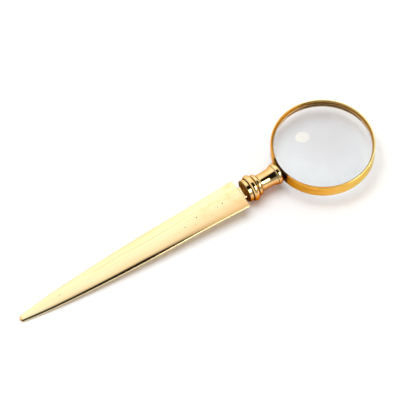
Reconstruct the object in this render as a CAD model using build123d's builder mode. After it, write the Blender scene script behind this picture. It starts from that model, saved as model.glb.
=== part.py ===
"""Brass hand magnifier whose handle is a paper-knife blade.

Millimetres. The origin is the centre of the lens, +Z is the optical axis and the handle runs along -X.
"""
from build123d import *

import math
import os

os.makedirs("parts", exist_ok=True)

# ---------------------------------------------------------------- driving dimensions
# lens
lens_diameter = 60.0
lens_edge_thickness = 2.6
lens_surface_radius = 208.0
lens_edge_bevel = 0.25

# band round the lens
lens_clearance = 0.25
band_wall = 1.2
band_height = 8.8
band_rim_round = 0.3
ring_wire_radius = 0.55
ring_groove_depth = 0.45
ring_groove_clearance = 0.05
ring_seat_gap = 0.04
ring_split_width = 1.6
ring_split_angle = -60.0

# stud between the band and the neck
stud_radius = 2.5
stud_length = 11.0
stud_chamfer = 0.4
thread_clearance = 0.05
bore_end_gap = 1.0

# turned neck: the lengths follow one another from the band's outer wall towards the blade
saddle_gap = 0.02
neck_seat_radius = 4.3
neck_seat_land = 0.5
end_bead_radius = 6.7
end_bead_length = 3.7
bead_groove_depth = 0.35
bead_groove_width = 0.3
trumpet_radius = 6.3
trumpet_length = 11.1
waist_radius = 5.1
waist_from_trumpet = 6.4
small_bead_radius = 6.9
small_bead_width = 2.6
small_bead_foot_radius = 5.7
bead_valley_radius = 6.3
bead_valley_width = 0.3
large_bead_radius = 8.3
large_bead_width = 4.0
neck_face_radius = 6.9

# ferrule between the neck and the blade
ferrule_radius = 7.0
ferrule_length = 2.6
ferrule_round = 0.5
spigot_radius = 5.0
spigot_length = 4.8
spigot_clearance = 0.05
spigot_chamfer = 0.3

# blade
blade_length = 150.0
shoulder_gap = 2.6
shoulder_round = 0.9
blade_edge_round = 0.25
tip_round = 1.7
tang_width = 8.0
tang_thickness = 2.0
tang_insertion = 6.0
tang_clearance = 0.05
slot_end_gap = 0.4
# distance from the shoulder as a share of the length, width, thickness on the centre line, edge thickness
blade_stations = [
    (0.00, 20.6, 2.8, 1.6),
    (0.18, 18.5, 2.7, 1.6),
    (0.38, 17.2, 2.5, 1.5),
    (0.58, 14.9, 2.3, 1.4),
    (0.76, 11.7, 2.0, 1.3),
    (0.90, 7.9, 1.7, 1.1),
    (1.00, 3.8, 1.3, 0.9),
]

# ---------------------------------------------------------------- derived sizes
lens_radius = lens_diameter / 2
band_inner_radius = lens_radius + lens_clearance
band_outer_radius = band_inner_radius + band_wall
ring_centre_radius = band_inner_radius + ring_groove_depth - ring_wire_radius
ring_centre_height = lens_edge_thickness / 2 + ring_wire_radius + ring_seat_gap
neck_start_x = -band_outer_radius
trumpet_start = end_bead_length + bead_groove_width
waist_place = trumpet_start + waist_from_trumpet
small_bead_near = trumpet_start + trumpet_length
small_bead_far = small_bead_near + small_bead_width
large_bead_near = small_bead_far + bead_valley_width
large_bead_far = large_bead_near + large_bead_width
neck_face_x = neck_start_x - large_bead_far
ferrule_face_x = neck_face_x - ferrule_length
shoulder_x = ferrule_face_x - shoulder_gap


def lens_sagitta(radius):
    """Depth of a lens surface between its crown and the given radius."""
    return lens_surface_radius - math.sqrt(lens_surface_radius ** 2 - radius ** 2)


# ---------------------------------------------------------------- lens
lens_crown_height = lens_edge_thickness / 2 + lens_sagitta(lens_radius)
lens_mid_radius = lens_radius / 2
lens_mid_height = lens_crown_height - lens_sagitta(lens_mid_radius)

with BuildPart() as lens:
    with BuildSketch(Plane.XZ):
        with BuildLine():
            edge_half = lens_edge_thickness / 2
            ThreePointArc((0, lens_crown_height), (lens_mid_radius, lens_mid_height), (lens_radius, edge_half))
            Line((lens_radius, edge_half), (lens_radius, -edge_half))
            ThreePointArc((lens_radius, -edge_half), (lens_mid_radius, -lens_mid_height), (0, -lens_crown_height))
            Line((0, -lens_crown_height), (0, lens_crown_height))
        make_face()
    revolve(axis=Axis.Z)
    chamfer(lens.edges().filter_by(GeomType.CIRCLE), lens_edge_bevel)
lens.part.label = "magnifying_lens"
export_step(lens.part, "parts/magnifying_lens.step")

# ---------------------------------------------------------------- band
with BuildPart() as band:
    with BuildSketch(Plane.XY.offset(-band_height / 2)):
        Circle(band_outer_radius)
        Circle(band_inner_radius, mode=Mode.SUBTRACT)
    extrude(amount=band_height)
    fillet(band.edges().filter_by(GeomType.CIRCLE), band_rim_round)
    with BuildSketch(Plane.XZ):
        with Locations((ring_centre_radius, ring_centre_height), (ring_centre_radius, -ring_centre_height)):
            Circle(ring_wire_radius + ring_groove_clearance)
    revolve(axis=Axis.Z, mode=Mode.SUBTRACT)
    with BuildSketch(Plane.YZ.offset(-band_outer_radius)):
        Circle(stud_radius + thread_clearance)
    extrude(amount=band_outer_radius / 2, mode=Mode.SUBTRACT)
band.part.label = "bezel_band"
export_step(band.part, "parts/bezel_band.step")


# ---------------------------------------------------------------- split rings that hold the lens
def build_retaining_ring(node, height):
    """Wire ring with a narrow split, sprung into the band's groove at the given height."""
    with BuildPart() as ring:
        with BuildSketch(Plane.XZ):
            with Locations((ring_centre_radius, height)):
                Circle(ring_wire_radius)
        revolve(axis=Axis.Z)
        split_direction = Vector(1, 0, 0).rotate(Axis.Z, ring_split_angle)
        split_plane = Plane(origin=(0, 0, height), z_dir=split_direction)
        with BuildSketch(split_plane):
            Rectangle(ring_split_width, ring_split_width)
        extrude(amount=band_outer_radius, mode=Mode.SUBTRACT)
    ring.part.label = node
    export_step(ring.part, f"parts/{node}.step")


build_retaining_ring("upper_retaining_ring", ring_centre_height)
build_retaining_ring("lower_retaining_ring", -ring_centre_height)

# ---------------------------------------------------------------- stud
# It is brazed into the band's hole just outside the ring grooves, and ends inside the neck.
stud_start_x = -(band_inner_radius + ring_groove_depth + ring_groove_clearance + ring_seat_gap)

with BuildPart() as stud:
    with BuildSketch(Plane.YZ.offset(stud_start_x)):
        Circle(stud_radius)
    extrude(amount=-stud_length)
    chamfer(stud.edges().filter_by(GeomType.CIRCLE).sort_by(Axis.X)[0], stud_chamfer)
stud.part.label = "band_stud"
export_step(stud.part, "parts/band_stud.step")

# ---------------------------------------------------------------- neck
# Each place on the neck is an axial distance from the band's outer wall; at() turns it into a profile point.


def at(distance, radius):
    """Profile point at an axial distance from the band and a radius about the handle's axis."""
    return (neck_start_x - distance, radius)


end_bead_crown = (neck_seat_land + end_bead_length) / 2
small_bead_crown = small_bead_near + small_bead_width / 2
large_bead_crown = large_bead_near + large_bead_width / 2
neck_root = -band_wall
stud_bore_depth = stud_length + bore_end_gap

with BuildPart() as neck:
    with BuildSketch(Plane.XZ):
        with BuildLine():
            Line(at(neck_root, 0), at(neck_root, neck_seat_radius))
            Line(at(neck_root, neck_seat_radius), at(neck_seat_land, neck_seat_radius))
            ThreePointArc(
                at(neck_seat_land, neck_seat_radius),
                at(end_bead_crown, end_bead_radius),
                at(end_bead_length, trumpet_radius),
            )
            Polyline(
                at(end_bead_length, trumpet_radius),
                at(end_bead_length + bead_groove_width / 2, trumpet_radius - bead_groove_depth),
                at(trumpet_start, trumpet_radius),
            )
            Spline(
                at(trumpet_start, trumpet_radius),
                at(waist_place, waist_radius),
                at(small_bead_near, small_bead_foot_radius),
                tangents=[(-1, -0.55), (-1, 0.6)],
            )
            ThreePointArc(
                at(small_bead_near, small_bead_foot_radius),
                at(small_bead_crown, small_bead_radius),
                at(small_bead_far, bead_valley_radius),
            )
            Line(at(small_bead_far, bead_valley_radius), at(large_bead_near, bead_valley_radius))
            ThreePointArc(
                at(large_bead_near, bead_valley_radius),
                at(large_bead_crown, large_bead_radius),
                at(large_bead_far, neck_face_radius),
            )
            Line(at(large_bead_far, neck_face_radius), at(large_bead_far, 0))
            Line(at(large_bead_far, 0), at(neck_root, 0))
        make_face()
    revolve(axis=Axis.X)
    with BuildSketch(Plane.XY.offset(-band_height)):
        Circle(band_outer_radius + saddle_gap)
    extrude(amount=2 * band_height, mode=Mode.SUBTRACT)
    with BuildSketch(Plane.YZ.offset(stud_start_x)):
        Circle(stud_radius + thread_clearance)
    extrude(amount=-stud_bore_depth, mode=Mode.SUBTRACT)
    with BuildSketch(Plane.YZ.offset(neck_face_x)):
        Circle(spigot_radius + spigot_clearance)
    extrude(amount=spigot_length + bore_end_gap, mode=Mode.SUBTRACT)
neck.part.label = "turned_neck"
export_step(neck.part, "parts/turned_neck.step")

# ---------------------------------------------------------------- ferrule
with BuildPart() as ferrule:
    with BuildSketch(Plane.YZ.offset(ferrule_face_x)):
        Circle(ferrule_radius)
    extrude(amount=ferrule_length)
    fillet(ferrule.edges().filter_by(GeomType.CIRCLE), ferrule_round)
    with BuildSketch(Plane.YZ.offset(neck_face_x)):
        Circle(spigot_radius)
    extrude(amount=spigot_length)
    chamfer(ferrule.edges().filter_by(GeomType.CIRCLE).sort_by(Axis.X)[-1], spigot_chamfer)
    with BuildSketch(Plane.YZ.offset(ferrule_face_x)):
        Rectangle(tang_width + 2 * tang_clearance, tang_thickness + 2 * tang_clearance)
    extrude(amount=tang_insertion + slot_end_gap, mode=Mode.SUBTRACT)
ferrule.part.label = "blade_ferrule"
export_step(ferrule.part, "parts/blade_ferrule.step")

# ---------------------------------------------------------------- blade
tip_x = shoulder_x - blade_length

with BuildPart() as blade:
    for share, width, centre_thickness, edge_thickness in blade_stations:
        half_width = width / 2
        crown = centre_thickness / 2
        edge = edge_thickness / 2
        with BuildSketch(Plane.YZ.offset(shoulder_x - share * blade_length)):
            with BuildLine():
                ThreePointArc((-half_width, edge), (0, crown), (half_width, edge))
                Line((half_width, edge), (half_width, -edge))
                ThreePointArc((half_width, -edge), (0, -crown), (-half_width, -edge))
                Line((-half_width, -edge), (-half_width, edge))
            make_face()
    loft()
    tip_edges = blade.faces().sort_by(Axis.X)[0].edges().sort_by(Axis.Y)
    fillet([tip_edges[0], tip_edges[-1]], tip_round)
    shoulder_edges = blade.faces().sort_by(Axis.X)[-1].edges().sort_by(Axis.Y)
    fillet([shoulder_edges[0], shoulder_edges[-1]], shoulder_round)
    crowned_faces = blade.faces().sort_by(SortBy.AREA)[-2:]
    fillet(crowned_faces.edges(), blade_edge_round)
    with BuildSketch(Plane.YZ.offset(shoulder_x)):
        Rectangle(tang_width, tang_thickness)
    extrude(amount=shoulder_gap + tang_insertion)
blade.part.label = "paper_knife_blade"
export_step(blade.part, "parts/paper_knife_blade.step")

print(f"length {band_outer_radius - tip_x:.1f}, width {2 * band_outer_radius:.1f}")
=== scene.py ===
"""Brass magnifying glass with a paper-knife blade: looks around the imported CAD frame. Units are metres."""
import math

import bmesh
import bpy
import numpy as np
from mathutils import Matrix, Vector


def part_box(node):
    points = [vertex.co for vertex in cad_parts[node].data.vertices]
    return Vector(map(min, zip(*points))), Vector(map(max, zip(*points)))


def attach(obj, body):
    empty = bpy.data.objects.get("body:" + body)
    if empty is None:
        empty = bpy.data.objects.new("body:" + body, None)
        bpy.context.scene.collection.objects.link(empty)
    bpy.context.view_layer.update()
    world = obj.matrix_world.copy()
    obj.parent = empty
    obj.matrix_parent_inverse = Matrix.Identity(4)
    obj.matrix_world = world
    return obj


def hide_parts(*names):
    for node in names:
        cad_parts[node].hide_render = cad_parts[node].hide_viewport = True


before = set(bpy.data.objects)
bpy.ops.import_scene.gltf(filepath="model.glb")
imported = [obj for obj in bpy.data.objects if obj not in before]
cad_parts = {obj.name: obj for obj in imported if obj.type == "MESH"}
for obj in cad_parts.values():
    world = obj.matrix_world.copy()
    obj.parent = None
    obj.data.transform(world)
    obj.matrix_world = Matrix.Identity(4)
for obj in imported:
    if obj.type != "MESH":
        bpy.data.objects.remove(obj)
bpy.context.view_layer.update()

MM = 0.001

# ---------------------------------------------------------------- sizes taken from the frame
lens_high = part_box("magnifying_lens")[1]
lens_radius, lens_half_thickness = lens_high.y, lens_high.z
blade_low, blade_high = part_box("paper_knife_blade")
tip_x, tang_end_x = blade_low.x, blade_high.x


# ---------------------------------------------------------------- small helpers for shader nodes
class Shader:
    """A material's node tree with short calls for the nodes that the finishes use."""

    def __init__(self, name):
        self.material = bpy.data.materials.new(name)
        self.material.use_nodes = True
        self.nodes = self.material.node_tree.nodes
        self.links = self.material.node_tree.links
        self.bsdf = self.nodes["Principled BSDF"]
        self.coordinates = self.nodes.new("ShaderNodeTexCoord").outputs["Object"]

    def link(self, output, target):
        self.links.new(output, target)

    def put(self, target, value):
        """Sets an input from another node's output, or from a plain number or colour."""
        if isinstance(value, bpy.types.NodeSocket):
            self.link(value, target)
        else:
            target.default_value = value

    def math(self, operation, first, second=0.0, third=0.0):
        node = self.nodes.new("ShaderNodeMath")
        node.operation = operation
        for target, value in zip(node.inputs, (first, second, third)):
            self.put(target, value)
        return node.outputs[0]

    def stretched(self, scale, vector=None):
        """Object coordinates multiplied by a scale for each axis."""
        node = self.nodes.new("ShaderNodeMapping")
        self.link(vector or self.coordinates, node.inputs["Vector"])
        node.inputs["Scale"].default_value = scale
        return node.outputs["Vector"]

    def polar(self):
        """Coordinates (angle about Z, height, radius), so that a texture can run round the band."""
        x, y, z = self.axes()
        squared = self.math("MULTIPLY_ADD", x, x, self.math("MULTIPLY", y, y))
        node = self.nodes.new("ShaderNodeCombineXYZ")
        self.link(self.math("ARCTAN2", y, x), node.inputs["X"])
        self.link(z, node.inputs["Y"])
        self.link(self.math("SQRT", squared), node.inputs["Z"])
        return node.outputs[0]

    def noise(self, vector, detail=3.0, roughness=0.5):
        """Smooth noise; its size comes from how far the coordinates are stretched."""
        node = self.nodes.new("ShaderNodeTexNoise")
        self.link(vector, node.inputs["Vector"])
        node.inputs["Scale"].default_value = 1.0
        node.inputs["Detail"].default_value = detail
        node.inputs["Roughness"].default_value = roughness
        return node.outputs["Fac"]

    def spots(self, vector):
        """Distance to the nearest of many scattered points."""
        node = self.nodes.new("ShaderNodeTexVoronoi")
        self.link(vector, node.inputs["Vector"])
        node.inputs["Scale"].default_value = 1.0
        return node.outputs["Distance"]

    def ramp(self, factor, stops):
        """Colour ramp; stops are (place, colour) with colours in linear RGB."""
        node = self.nodes.new("ShaderNodeValToRGB")
        self.link(factor, node.inputs["Fac"])
        elements = node.color_ramp.elements
        while len(elements) < len(stops):
            elements.new(0.5)
        for element, (place, colour) in zip(elements, stops):
            element.position = place
            element.color = (*colour, 1.0)
        return node.outputs["Color"]

    def between(self, factor, low, high, to_low, to_high):
        """Maps a range onto another, and holds the end values outside it."""
        node = self.nodes.new("ShaderNodeMapRange")
        self.link(factor, node.inputs["Value"])
        for name, value in (("From Min", low), ("From Max", high), ("To Min", to_low), ("To Max", to_high)):
            node.inputs[name].default_value = value
        return node.outputs["Result"]

    def mix(self, factor, first, second):
        node = self.nodes.new("ShaderNodeMix")
        node.data_type = "RGBA"
        self.put(node.inputs["Factor"], factor)
        self.put(node.inputs["A"], first)
        self.put(node.inputs["B"], second)
        return node.outputs["Result"]

    def bump(self, painted_shade_height, distance, strength=1.0, normal=None):
        node = self.nodes.new("ShaderNodeBump")
        self.link(painted_shade_height, node.inputs["Height"])
        node.inputs["Distance"].default_value = distance
        node.inputs["Strength"].default_value = strength
        if normal is not None:
            self.link(normal, node.inputs["Normal"])
        return node.outputs["Normal"]

    def axes(self, vector=None):
        """The three parts of a vector, which are the object's coordinates unless another is given."""
        node = self.nodes.new("ShaderNodeSeparateXYZ")
        self.link(vector or self.coordinates, node.inputs[0])
        return node.outputs["X"], node.outputs["Y"], node.outputs["Z"]

    def finish_metal(self, colour, roughness, normal, edge_tint=(1, 1, 1, 1)):
        self.bsdf.inputs["Metallic"].default_value = 1.0
        self.bsdf.inputs["Specular Tint"].default_value = edge_tint
        self.put(self.bsdf.inputs["Base Color"], colour)
        self.put(self.bsdf.inputs["Roughness"], roughness)
        self.link(normal, self.bsdf.inputs["Normal"])
        return self.material


# ---------------------------------------------------------------- materials
# Small pits in the blade's upper face: place along and across the blade and radius, in mm
PITS = (
    (-182.0, 0.8, 0.45), (-98.6, -1.6, 0.40), (-92.6, -3.2, 0.32), (-89.6, 0.2, 0.48), (-75.5, -0.8, 0.36),
    (-71.8, -0.2, 0.48), (-72.8, 2.4, 0.28), (-118.0, 2.6, 0.26), (-150.5, -1.8, 0.24),
)
BLADE_FACE_HEIGHT = 1.2 * MM
# Painted reflection line's range off centre, top-face heights for the painted near-edge shade, painted tip
# shade's reach, and where stains lie
PAINTED_REFLECTION_LINE_OFF_CENTRE = (2.2 * MM, 4.6 * MM)
UPPER_SIDE = (0.5 * MM, 0.8 * MM)
TIP_PAINTED_SHADE = (-206.2 * MM, -208.4 * MM)
STAINED_STRETCH = (-105 * MM, -66 * MM)


def make_blade_brass():
    """Pale polished brass: clouded, with painted shade making it warmer towards the near edge and darker at
    the rounded tip, a painted lengthwise reflection line, stains, dark tarnish specks and pits.
    """
    m = Shader("blade_brass")
    x, y, z = m.axes()
    clouds = m.noise(m.stretched((22, 90, 90)), detail=3, roughness=0.55)
    pale = m.ramp(clouds, [
        (0.30, (0.95, 0.79, 0.40)), (0.50, (0.97, 0.86, 0.49)), (0.75, (0.98, 0.90, 0.55)),
    ])
    drift = m.between(m.noise(m.stretched((30, 30, 30)), detail=2), 0, 1, -0.0016, 0.0016)
    across = m.math("ADD", y, drift)
    # Painted shade: the near half of the blade's face is tinted peach.
    pale = m.mix(m.between(across, 0.0016, 0.0006, 0, 0.55), pale, (0.98, 0.82, 0.50, 1))
    bands = m.noise(m.stretched((7, 420, 420)), detail=2)
    pale = m.mix(m.between(bands, 0.45, 0.65, 0, 0.35), pale, (0.98, 0.76, 0.38, 1))
    # Painted reflection: a faint orange line running lengthwise, a little off centre on the far half.
    painted_reflection_line = m.between(m.noise(m.stretched((14, 14, 14)), detail=1), 0.3, 0.7, *PAINTED_REFLECTION_LINE_OFF_CENTRE)
    from_painted_reflection_line = m.math("ABSOLUTE", m.math("SUBTRACT", across, painted_reflection_line))
    pale = m.mix(m.between(from_painted_reflection_line, 0.0001, 0.0006, 0.4, 0), pale, (0.95, 0.66, 0.34, 1))
    # Painted shade: deeper orange towards the near edge of the top face.
    near_edge_painted_shade = m.math("MULTIPLY", m.between(z, *UPPER_SIDE, 0, 1), m.between(across, -0.001, -0.0085, 0, 0.85))
    pale = m.mix(near_edge_painted_shade, pale, (0.97, 0.58, 0.25, 1))
    # Painted shade: the rounded tip turns brown.
    pale = m.mix(m.between(x, *TIP_PAINTED_SHADE, 0, 0.75), pale, (0.80, 0.40, 0.12, 1))
    stain = m.noise(m.stretched((110, 160, 160)), detail=4, roughness=0.6)
    near_shoulder = m.between(x, *STAINED_STRETCH, 0, 0.6)
    stained = m.math("MULTIPLY", near_shoulder, m.between(stain, 0.50, 0.68, 0, 1))
    pale = m.mix(stained, pale, (0.93, 0.60, 0.24, 1))
    pit = None
    for pit_x, pit_y, radius in PITS:
        offset = m.nodes.new("ShaderNodeVectorMath")
        offset.operation = "DISTANCE"
        m.link(m.coordinates, offset.inputs[0])
        offset.inputs[1].default_value = (pit_x * MM, pit_y * MM, BLADE_FACE_HEIGHT)
        near = m.between(offset.outputs["Value"], 0.5 * radius * MM, radius * MM, 1, 0)
        pit = near if pit is None else m.math("MAXIMUM", pit, near)
    specks = m.spots(m.stretched((300, 420, 420)))
    speck = m.math("MULTIPLY", m.between(specks, 0.03, 0.09, 1, 0), m.between(clouds, 0.50, 0.62, 0, 0.6))
    dark = m.math("MAXIMUM", m.math("MULTIPLY", pit, 0.85), speck)
    colour = m.mix(dark, pale, (0.22, 0.13, 0.04, 1))
    lines = m.noise(m.stretched((60, 5200, 5200)), detail=2)
    hand_polish = m.noise(m.stretched((28, 60, 60)), detail=1)
    scratches = m.noise(m.stretched((30, 1500, 1500)), detail=4, roughness=0.7)
    roughness = m.between(scratches, 0.35, 0.7, 0.05, 0.13)
    normal = m.bump(hand_polish, 0.00022)
    normal = m.bump(lines, 0.000004, 0.6, normal)
    normal = m.bump(pit, -0.00015, 0.8, normal)
    return m.finish_metal(colour, m.math("MULTIPLY_ADD", pit, 0.4, roughness), normal)


# Creases of the turned work, darkened with painted shade: place along the handle and half width, in mm
PAINTED_SHADE_CREASES = ((-31.5, 1.4), (-35.3, 0.26), (-46.55, 0.45), (-49.3, 0.50), (-53.45, 0.50), (-56.4, 1.0))


def make_neck_brass():
    """Mirror-polished turned brass with lathe rings, a red-orange painted shade underneath and dark painted
    shade in its creases.
    """
    m = Shader("neck_brass")
    x, y, z = m.axes()
    wander = m.between(m.noise(m.stretched((400, 400, 400)), detail=2), 0, 1, -0.0002, 0.0002)
    along = m.math("ADD", x, wander)
    crease_painted_shade = None
    for place, half_width in PAINTED_SHADE_CREASES:
        away = m.math("ABSOLUTE", m.math("SUBTRACT", along, place * MM))
        near = m.between(away, 0.3 * half_width * MM, half_width * MM, 1, 0)
        crease_painted_shade = near if crease_painted_shade is None else m.math("MAXIMUM", crease_painted_shade, near)
    clouds = m.noise(m.stretched((160, 160, 160)), detail=2)
    bright = m.ramp(clouds, [(0.3, (0.94, 0.60, 0.24)), (0.7, (0.98, 0.72, 0.34))])
    # Painted shade: the underside and near side turn deep red-orange.
    painted_shade_height = m.math("ADD", z, m.math("MULTIPLY", y, 0.7))
    bright = m.mix(m.between(painted_shade_height, 0.0, -0.0045, 0, 0.95), bright, (0.64, 0.20, 0.010, 1))
    # Painted shade: near-black in the creases.
    colour = m.mix(m.math("MULTIPLY", crease_painted_shade, 0.95), bright, (0.05, 0.018, 0.005, 1))
    rings = m.noise(m.stretched((7000, 60, 60)), detail=2)
    roughness = m.math("MULTIPLY_ADD", crease_painted_shade, 0.5, m.between(clouds, 0.3, 0.7, 0.03, 0.08))
    normal = m.bump(rings, 0.000003, 0.5)
    normal = m.bump(m.noise(m.stretched((120, 120, 120)), detail=1), 0.00008, 0.6, normal)
    return m.finish_metal(colour, roughness, normal, (0.74, 0.40, 0.10, 1))


# Stretch of painted light and shade along the band, inner-wall radii for the painted brown shade, and the
# seat's half width and place for the painted black shade
BAND_PAINTED_LIGHT_STRETCH = (-30 * MM, 22 * MM)
BAND_WALL = (31.10 * MM, 30.55 * MM)
BAND_SEAT_HALF_WIDTH = (6.8 * MM, 7.8 * MM)
BAND_SEAT_X = (-20 * MM, -19 * MM)


def make_band_brass():
    """Golden brass brushed round the band, with painted light and shade: deeper towards the neck and paler
    away from it, brown inside, black at its seat.
    """
    m = Shader("band_brass")
    polar = m.polar()
    radius = m.axes(polar)[2]
    x, y, _ = m.axes()
    brushing = m.noise(m.stretched((4, 6000, 3000), polar), detail=4, roughness=0.7)
    painted_light_wobble = m.noise(m.stretched((3.0, 260, 300), polar), detail=3)
    # Painted light and shade: deeper near the neck, pale towards the far side.
    painted_light_place = m.math("ADD", x, m.between(painted_light_wobble, 0.2, 0.8, -0.012, 0.012))
    bright = m.ramp(m.between(painted_light_place, *BAND_PAINTED_LIGHT_STRETCH, 0, 1), [
        (0.0, (0.70, 0.32, 0.05)), (0.30, (0.97, 0.53, 0.11)),
        (0.60, (1.0, 0.70, 0.22)), (0.85, (1.0, 0.97, 0.50)),
    ])
    colour = m.mix(m.between(brushing, 0.50, 0.75, 0, 0.5), bright, (0.62, 0.27, 0.04, 1))
    # Painted shade: brown on the inner wall.
    inside_painted_shade = m.between(radius, *BAND_WALL, 0, 0.8)
    colour = m.mix(inside_painted_shade, colour, (0.42, 0.16, 0.012, 1))
    # Painted shade: near-black where the band meets the neck.
    beside_neck = m.between(m.math("ABSOLUTE", y), *BAND_SEAT_HALF_WIDTH, 0.96, 0)
    seat_painted_shade = m.math("MULTIPLY", beside_neck, m.between(x, *BAND_SEAT_X, 1, 0))
    colour = m.mix(seat_painted_shade, colour, (0.03, 0.010, 0.003, 1))
    roughness = m.between(brushing, 0.3, 0.7, 0.12, 0.26)
    normal = m.bump(brushing, 0.00002, 0.5)
    return m.finish_metal(colour, roughness, normal, (0.90, 0.62, 0.25, 1))


def make_ring_brass():
    """Dull drawn brass wire."""
    m = Shader("ring_brass")
    polar = m.polar()
    drawn = m.noise(m.stretched((10, 6000, 6000), polar), detail=3)
    colour = m.ramp(drawn, [(0.3, (0.50, 0.27, 0.08)), (0.7, (0.70, 0.42, 0.15))])
    return m.finish_metal(colour, m.between(drawn, 0.3, 0.7, 0.28, 0.42), m.bump(drawn, 0.00001, 0.5))


LENS_LIGHT_THROUGH = (0.98, 0.98, 0.98, 1)
LENS_IOR = 1.52
# Centre and reach of the lens's painted grey shade
LENS_PAINTED_SHADE_CENTRE = (4 * MM, 5 * MM, 0)
LENS_PAINTED_SHADE_REACH = (8 * MM, 34 * MM)


def make_lens_glass():
    """Crown glass with painted grey shade around a point off its centre, fading outwards along a noisy edge,
    and faintly smeared roughness; nearly all light passes to the table.
    """
    m = Shader("lens_glass")
    wipe = m.noise(m.stretched((70, 240, 70)), detail=3)
    # Painted shade: grey around a point off the lens centre, fading outwards along a noisy edge.
    away = m.nodes.new("ShaderNodeVectorMath")
    away.operation = "DISTANCE"
    m.link(m.stretched((1, 1, 0)), away.inputs[0])
    away.inputs[1].default_value = LENS_PAINTED_SHADE_CENTRE
    painted_shade_noise = m.noise(m.stretched((130, 130, 130)), detail=4, roughness=0.65)
    painted_shade_wobble = m.between(painted_shade_noise, 0.3, 0.7, -0.004, 0.004)
    outwards = m.math("ADD", away.outputs["Value"], painted_shade_wobble)
    m.link(m.ramp(m.between(outwards, *LENS_PAINTED_SHADE_REACH, 0, 1), [
        (0.0, (0.880, 0.832, 0.820)), (0.5, (0.935, 0.912, 0.900)), (1.0, (0.99, 0.980, 0.970)),
    ]), m.bsdf.inputs["Base Color"])
    m.bsdf.inputs["Transmission Weight"].default_value = 1.0
    m.bsdf.inputs["IOR"].default_value = LENS_IOR
    m.link(m.between(wipe, 0.4, 0.8, 0.0, 0.02), m.bsdf.inputs["Roughness"])
    clear = m.nodes.new("ShaderNodeBsdfTransparent")
    clear.inputs["Color"].default_value = LENS_LIGHT_THROUGH
    both = m.nodes.new("ShaderNodeMixShader")
    m.link(m.nodes.new("ShaderNodeLightPath").outputs["Is Shadow Ray"], both.inputs[0])
    m.link(m.bsdf.outputs[0], both.inputs[1])
    m.link(clear.outputs[0], both.inputs[2])
    m.link(both.outputs[0], m.nodes["Material Output"].inputs["Surface"])
    return m.material


# ---------------------------------------------------------------- meshes
def add_mesh(name, vertices, faces, material, slot, *replaced):
    """A smooth piece that rides on the body and stands for the CAD nodes named last."""
    mesh = bpy.data.meshes.new(name)
    mesh.from_pydata(vertices, [], faces)
    mesh.validate()
    mesh.polygons.foreach_set("use_smooth", [True] * len(mesh.polygons))
    mesh.materials.append(material)
    piece = bpy.data.objects.new(name, mesh)
    bpy.context.scene.collection.objects.link(piece)
    solid = bmesh.new()
    solid.from_mesh(mesh)
    bmesh.ops.recalc_face_normals(solid, faces=solid.faces)
    solid.to_mesh(mesh)
    solid.free()
    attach(piece, "root")
    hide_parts(*replaced)
    return piece


LENS_RINGS = 72
LENS_SEGMENTS = 256
LENS_EDGE_THICKNESS = 2.6 * MM
LENS_BEVEL = 0.25 * MM


def make_lens(material):
    """Biconvex lens as a finely divided lathe shape: two spherical caps and a bevelled edge."""
    radius, crown = lens_radius, lens_half_thickness
    edge = LENS_EDGE_THICKNESS / 2
    sag = crown - edge
    sphere = (radius ** 2 + sag ** 2) / (2 * sag)
    inner = radius - LENS_BEVEL
    cap = []
    for ring in range(1, LENS_RINGS + 1):
        r = inner * ring / LENS_RINGS
        cap.append((r, crown - (sphere - math.sqrt(sphere ** 2 - r ** 2))))
    profile = cap + [(radius, edge - LENS_BEVEL)]
    profile = profile + [(r, -z) for r, z in reversed(profile)]
    vertices = [(0, 0, crown)]
    for r, z in profile:
        for k in range(LENS_SEGMENTS):
            turn = math.tau * k / LENS_SEGMENTS
            vertices.append((r * math.cos(turn), r * math.sin(turn), z))
    vertices.append((0, 0, -crown))
    faces = []
    last = len(vertices) - 1
    for k in range(LENS_SEGMENTS):
        following = (k + 1) % LENS_SEGMENTS
        faces.append((0, 1 + k, 1 + following))
        for ring in range(len(profile) - 1):
            a = 1 + ring * LENS_SEGMENTS
            b = a + LENS_SEGMENTS
            faces.append((a + k, b + k, b + following, a + following))
        end = 1 + (len(profile) - 1) * LENS_SEGMENTS
        faces.append((end + following, end + k, last))
    return add_mesh("lens_glass_body", vertices, faces, material, "lens_glass", "magnifying_lens")


# ---------------------------------------------------------------- blade
BLADE_LENGTH = 150.0 * MM
BLADE_SHOULDER_ROUND = 0.9 * MM
BLADE_TIP_ROUND = 1.7 * MM
BLADE_EDGE_ROUND = 0.25 * MM
BLADE_SIDE_ROUND = 0.50 * MM
TANG_HALF_WIDTH = 4.0 * MM
TANG_HALF_THICKNESS = 1.0 * MM
TANG_IN_BLADE = 1.0 * MM
# Share of the length from the shoulder, half width, half thickness in the middle and at the edges, in mm, and
# how late the crown rolls off towards the edges, which hand polishing leaves fullest in mid-blade
BLADE_STATIONS = (
    (0.00, 10.30, 1.40, 0.80, 2.0),
    (0.18, 9.25, 1.35, 0.80, 2.2),
    (0.38, 8.60, 1.25, 0.75, 3.9),
    (0.58, 7.45, 1.15, 0.70, 4.6),
    (0.76, 5.85, 1.00, 0.65, 3.6),
    (0.90, 3.95, 0.85, 0.55, 3.0),
    (1.00, 1.90, 0.65, 0.45, 2.4),
)
CROWN_STEPS = 44
CORNER_STEPS = 5
LENGTH_STEPS = 190
END_STEPS = 12
TANG_STEPS = 12


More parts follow.
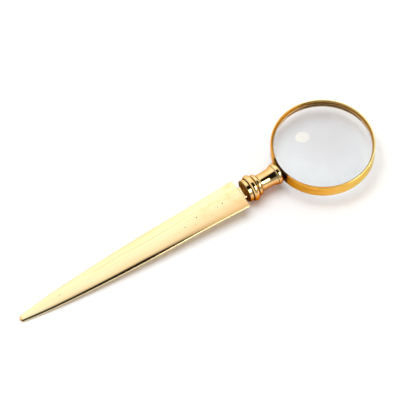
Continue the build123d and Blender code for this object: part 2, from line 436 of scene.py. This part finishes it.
def smooth_through(places, values, place):
    """Natural cubic spline through the stations, read at one place."""
    count = len(places)
    gaps = np.diff(places)
    system = np.eye(count)
    right = np.zeros(count)
    for i in range(1, count - 1):
        system[i, i - 1:i + 2] = gaps[i - 1], 2 * (gaps[i - 1] + gaps[i]), gaps[i]
        right[i] = 6 * ((values[i + 1] - values[i]) / gaps[i] - (values[i] - values[i - 1]) / gaps[i - 1])
    bend = np.linalg.solve(system, right)
    i = min(max(int(np.searchsorted(places, place)) - 1, 0), count - 2)
    a, b = places[i + 1] - place, place - places[i]
    return (
        (bend[i] * a ** 3 + bend[i + 1] * b ** 3) / (6 * gaps[i])
        + (values[i] / gaps[i] - bend[i] * gaps[i] / 6) * a
        + (values[i + 1] / gaps[i] - bend[i + 1] * gaps[i] / 6) * b
    )


def quarter_round(distance, radius):
    """How far a rounded corner stands back at a distance from the end."""
    if distance >= radius:
        return 0.0
    return radius - math.sqrt(radius ** 2 - (radius - distance) ** 2)


def crowned_section(x, half_width, middle, edge, fullness=2.0):
    """Ring of points of one blade section: crowned faces, narrow side walls and rounded corners."""
    r = min(BLADE_SIDE_ROUND, 0.8 * edge, 0.8 * half_width)
    top = []
    for k in range(CORNER_STEPS + 1):
        turn = math.pi / 2 * k / CORNER_STEPS
        top.append((half_width - r + r * math.cos(turn), edge - r + r * math.sin(turn)))
    inner = half_width - r
    for k in range(1, CROWN_STEPS):
        y = inner * math.cos(math.pi * k / CROWN_STEPS)
        top.append((y, edge + (middle - edge) * (1 - abs(y / inner) ** fullness)))
    top += [(-y, z) for y, z in reversed(top[:CORNER_STEPS + 1])]
    ring = top + [(y, -z) for y, z in reversed(top)]
    return [(x, y, z) for y, z in ring]


def skin(sections):
    """Closed skin over a run of equal rings of points, with a face over each end."""
    vertices = [point for ring in sections for point in ring]
    size = len(sections[0])
    faces = []
    for s in range(len(sections) - 1):
        for k in range(size):
            following = (k + 1) % size
            a, b = s * size, (s + 1) * size
            faces.append((a + k, a + following, b + following, b + k))
    faces.append(tuple(range(size))[::-1])
    faces.append(tuple(range((len(sections) - 1) * size, len(sections) * size)))
    return vertices, faces


def make_blade(material):
    """Tapering paper-knife blade with its tang, finely divided so that its polish reflects smoothly."""
    shoulder_x = tip_x + BLADE_LENGTH
    shares, widths, middles, edges, fullnesses = (np.array(column) for column in zip(*BLADE_STATIONS))
    ease = [1 - math.cos(math.pi / 2 * k / END_STEPS) for k in range(END_STEPS + 1)]
    near = [BLADE_SHOULDER_ROUND * e for e in ease]
    far = [BLADE_LENGTH - BLADE_TIP_ROUND * e for e in reversed(ease)]
    body = list(np.linspace(near[-1], far[0], LENGTH_STEPS)[1:-1])
    sections = []
    for distance in near + body + far:
        share = distance / BLADE_LENGTH
        half_width, middle, edge = (
            smooth_through(shares, column, share) * MM for column in (widths, middles, edges)
        )
        from_tip = BLADE_LENGTH - distance
        half_width -= quarter_round(distance, BLADE_SHOULDER_ROUND) + quarter_round(from_tip, BLADE_TIP_ROUND)
        inset = quarter_round(distance, BLADE_EDGE_ROUND) + quarter_round(from_tip, BLADE_EDGE_ROUND)
        fullness = smooth_through(shares, fullnesses, share)
        x = shoulder_x - distance
        sections.append(crowned_section(x, half_width, middle - inset, edge - inset, fullness))
    vertices, faces = skin(sections)
    tang_vertices, tang_faces = skin([
        crowned_section(x, TANG_HALF_WIDTH, TANG_HALF_THICKNESS, TANG_HALF_THICKNESS)
        for x in np.linspace(shoulder_x - TANG_IN_BLADE, tang_end_x, TANG_STEPS)
    ])
    shift = len(vertices)
    vertices += tang_vertices
    faces += [tuple(index + shift for index in face) for face in tang_faces]
    return add_mesh("knife_blade_body", vertices, faces, material, "blade_brass", "paper_knife_blade")


materials = {
    "blade_brass": make_blade_brass(),
    "neck_brass": make_neck_brass(),
    "band_brass": make_band_brass(),
    "ring_brass": make_ring_brass(),
    "lens_glass": make_lens_glass(),
}


def finish_node(node, material):
    """Puts a finish on a CAD node whose shape is already right."""
    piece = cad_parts[node]
    piece.data.materials.clear()
    piece.data.materials.append(material)


finish_node("bezel_band", materials["band_brass"])
finish_node("upper_retaining_ring", materials["ring_brass"])
finish_node("lower_retaining_ring", materials["ring_brass"])
finish_node("band_stud", materials["neck_brass"])
finish_node("turned_neck", materials["neck_brass"])
finish_node("blade_ferrule", materials["neck_brass"])
lens_piece = make_lens(materials["lens_glass"])
make_blade(materials["blade_brass"])


# ---------------------------------------------------------------- floor that the object rests on
def lowest(node, up):
    """Lowest place of a CAD node along a direction."""
    points = np.array([vertex.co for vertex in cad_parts[node].data.vertices])
    return float((points @ np.array(up)).min())


STEEPEST_PITCH = math.radians(10)
PITCH_HALVINGS = 40


def resting_plane():
    """Normal and level of the table top, which touches the blade's tip and the neck's large bead."""
    flat, steep = 0.0, STEEPEST_PITCH
    for _ in range(PITCH_HALVINGS):
        pitch = (flat + steep) / 2
        up = Vector((math.sin(pitch), 0, math.cos(pitch)))
        if lowest("turned_neck", up) < lowest("paper_knife_blade", up):
            flat = pitch
        else:
            steep = pitch
    return up, lowest("turned_neck", up)


table_normal, table_level = resting_plane()
TABLE_SIZE = 6.0


def make_table():
    """Plain white table top with a faint paper grain; it keeps the object's shadow."""
    m = Shader("table_white")
    grain = m.noise(m.stretched((900, 900, 900)), detail=3)
    white = m.ramp(grain, [(0.3, (0.93, 0.93, 0.94)), (0.7, (0.96, 0.96, 0.965))])
    m.link(white, m.bsdf.inputs["Base Color"])
    m.bsdf.inputs["Roughness"].default_value = 0.55
    mesh = bpy.data.meshes.new("table_top")
    half = TABLE_SIZE / 2
    corners = [(-half, -half, 0), (half, -half, 0), (half, half, 0), (-half, half, 0)]
    mesh.from_pydata(corners, [], [(0, 1, 2, 3)])
    mesh.materials.append(m.material)
    table = bpy.data.objects.new("table_top", mesh)
    bpy.context.scene.collection.objects.link(table)
    table.rotation_mode = "QUATERNION"
    table.rotation_quaternion = table_normal.to_track_quat("Z", "Y")
    table.location = table_normal * table_level


make_table()

# ---------------------------------------------------------------- camera
CAMERA_AZIMUTH = math.radians(-28.59)
CAMERA_ELEVATION = math.radians(59.72)
CAMERA_ROLL = math.radians(4.4)
CAMERA_DISTANCE = 0.9454
CAMERA_AIM = Vector((-0.0811, 0.0098, 0.0))
CAMERA_LENS_MM = 144.0
CAMERA_SENSOR_MM = 36.0


def make_camera():
    """Camera that looks down on the near side of the handle, tilted a little about its line of sight."""
    look = Vector((
        -math.sin(CAMERA_AZIMUTH) * math.cos(CAMERA_ELEVATION),
        math.cos(CAMERA_AZIMUTH) * math.cos(CAMERA_ELEVATION),
        -math.sin(CAMERA_ELEVATION),
    ))
    camera = bpy.data.objects.new("camera", bpy.data.cameras.new("camera"))
    bpy.context.scene.collection.objects.link(camera)
    camera.data.lens = CAMERA_LENS_MM
    camera.data.sensor_width = CAMERA_SENSOR_MM
    camera.location = CAMERA_AIM - look * CAMERA_DISTANCE
    level = Matrix.Rotation(CAMERA_ROLL, 4, look)
    camera.rotation_mode = "QUATERNION"
    camera.rotation_quaternion = level.to_quaternion() @ look.to_track_quat("-Z", "Y")
    bpy.context.scene.camera = camera


make_camera()


# ---------------------------------------------------------------- studio light
def add_softbox(name, place, target, width, painted_shade_height, power):
    """Rectangular area light at a place, turned to face its target."""
    light = bpy.data.lights.new(name, "AREA")
    light.shape = "RECTANGLE"
    light.size = width
    light.size_y = painted_shade_height
    light.energy = power
    softbox = bpy.data.objects.new(name, light)
    bpy.context.scene.collection.objects.link(softbox)
    softbox.location = place
    softbox.rotation_mode = "QUATERNION"
    softbox.rotation_quaternion = (Vector(target) - Vector(place)).to_track_quat("-Z", "Y")
    return softbox


STUDIO_CENTRE = Vector((-0.09, 0, 0))
SOFTBOX_PLACE = STUDIO_CENTRE + Vector((0.03, 0.30, 1.20))
KEY_COLOUR = (0.78, 0.92, 1.0)
FILL_COLOUR = (1.0, 0.84, 0.74, 1)
FILL_STRENGTH = 0.66
SOFTBOX_WIDTH, SOFTBOX_HEIGHT, SOFTBOX_POWER = 1.1, 0.9, 12.0
overhead = add_softbox(
    "overhead_softbox", SOFTBOX_PLACE, STUDIO_CENTRE, SOFTBOX_WIDTH, SOFTBOX_HEIGHT, SOFTBOX_POWER,
)
overhead.data.color = KEY_COLOUR
overhead.visible_glossy = False
overhead.visible_transmission = False

# Light that polished metal mirrors, by the angle in degrees from straight up towards the camera's side.
# The window stands on the +X side only; on the other side the room stays dark further down.
WINDOW_STRENGTH = 6.0
WINDOW_SIDE = (
    (-90, 0.85), (-60, 1.10), (-36, 1.30), (-28, 1.15), (-17, 1.05), (-10, 0.70), (-6, 0.10), (-3, 0.010),
    (28, 0.010), (31, 0.60), (34, WINDOW_STRENGTH), (57, WINDOW_STRENGTH),
    (62, 0.80), (78, 0.45), (90, 0.35),
)
ROOM_SIDE = (
    (-90, 0.85), (-60, 1.10), (-36, 1.30), (-28, 1.15), (-17, 1.02), (-10, 0.65), (-6, 0.08), (-3, 0.010),
    (50, 0.010), (60, 0.20), (72, 0.40), (90, 0.35),
)
# How far a direction leans towards +X: where the window begins, at the bands' middle, and where they fade
WINDOW_EDGE = (0.14, 0.20)
STUDIO_MIDDLE = 0.10
STUDIO_HALF_WIDTH = (0.62, 0.85)


def make_world():
    """White studio as polished metal mirrors it, with a dark room behind the camera and a window below that.

    Its light falls on the object as a dimmer even fill.
    """
    world = bpy.data.worlds.new("studio")
    bpy.context.scene.world = world
    world.use_nodes = True
    nodes, links = world.node_tree.nodes, world.node_tree.links
    background = nodes["Background"]

    def calculate(operation, *values):
        node = nodes.new("ShaderNodeMath")
        node.operation = operation
        for target, value in zip(node.inputs, values):
            if isinstance(value, bpy.types.NodeSocket):
                links.new(value, target)
            else:
                target.default_value = value
        return node.outputs[0]

    def remap(value, low, high, to_low, to_high, kind="LINEAR"):
        node = nodes.new("ShaderNodeMapRange")
        node.interpolation_type = kind
        links.new(value, node.inputs["Value"])
        for name, number in (("From Min", low), ("From Max", high), ("To Min", to_low), ("To Max", to_high)):
            node.inputs[name].default_value = number
        return node.outputs["Result"]

    parts = nodes.new("ShaderNodeSeparateXYZ")
    direction = nodes.new("ShaderNodeTexCoord").outputs["Generated"]
    links.new(direction, parts.inputs[0])
    towards_camera = calculate("ARCTAN2", calculate("MULTIPLY", parts.outputs["Y"], -1.0), parts.outputs["Z"])
    place = remap(towards_camera, -math.pi / 2, math.pi / 2, 0, 1)

    def read_bands(stops):
        bands = nodes.new("ShaderNodeValToRGB")
        links.new(place, bands.inputs["Fac"])
        elements = bands.color_ramp.elements
        while len(elements) < len(stops):
            elements.new(0.5)
        for element, (angle, strength) in zip(elements, stops):
            element.position = (angle + 90) / 180
            element.color = (*[strength / WINDOW_STRENGTH] * 3, 1)
        return calculate("MULTIPLY", bands.outputs["Color"], WINDOW_STRENGTH)

    room, window = read_bands(ROOM_SIDE), read_bands(WINDOW_SIDE)
    by_window = remap(parts.outputs["X"], *WINDOW_EDGE, 0, 1, "SMOOTHSTEP")
    banded = calculate("MULTIPLY_ADD", by_window, calculate("SUBTRACT", window, room), room)
    sideways = calculate("ABSOLUTE", calculate("SUBTRACT", parts.outputs["X"], STUDIO_MIDDLE))
    beside = remap(sideways, *STUDIO_HALF_WIDTH, 0, 1, "SMOOTHSTEP")
    mirrored = calculate("MULTIPLY_ADD", beside, calculate("SUBTRACT", 1.0, banded), banded)

    path = nodes.new("ShaderNodeLightPath")
    before_table = calculate("LESS_THAN", path.outputs["Diffuse Depth"], 0.5)
    through_lens = calculate("MULTIPLY", path.outputs["Is Transmission Ray"], before_table)
    direct = calculate("MAXIMUM", path.outputs["Is Camera Ray"], through_lens)
    plain = remap(direct, 0, 1, FILL_STRENGTH, 1)
    glossy = path.outputs["Is Glossy Ray"]
    strength = calculate("MULTIPLY_ADD", glossy, calculate("SUBTRACT", mirrored, plain), plain)
    links.new(strength, background.inputs["Strength"])
    tint = nodes.new("ShaderNodeMix")
    tint.data_type = "RGBA"
    links.new(calculate("MAXIMUM", direct, glossy), tint.inputs["Factor"])
    tint.inputs["A"].default_value = FILL_COLOUR
    tint.inputs["B"].default_value = (1, 1, 1, 1)
    links.new(tint.outputs["Result"], background.inputs["Color"])


make_world()

LAMP_PLACE = Vector((0.245, 0.531, 0.811))
LAMP_COLOUR = (1.0, 0.94, 0.45)
# Nested lamps, which make the spot brighter towards its middle: diameter and power
LAMPS = ((0.086, 0.056), (0.060, 0.046), (0.034, 0.022))


def add_lens_lamps(lens):
    """Small warm lamps that show as a soft spot in the face of the lens, and light nothing else."""
    lit = bpy.data.collections.new("lit_by_lens_lamp")
    lit.objects.link(lens)
    for across, power in LAMPS:
        lamp = add_softbox("lens_lamp", LAMP_PLACE, (0, 0, 0), across, across, power)
        lamp.data.shape = "DISK"
        lamp.data.color = LAMP_COLOUR
        lamp.visible_transmission = False
        lamp.light_linking.receiver_collection = lit


add_lens_lamps(lens_piece)
bpy.context.scene.view_settings.view_transform = "Standard"
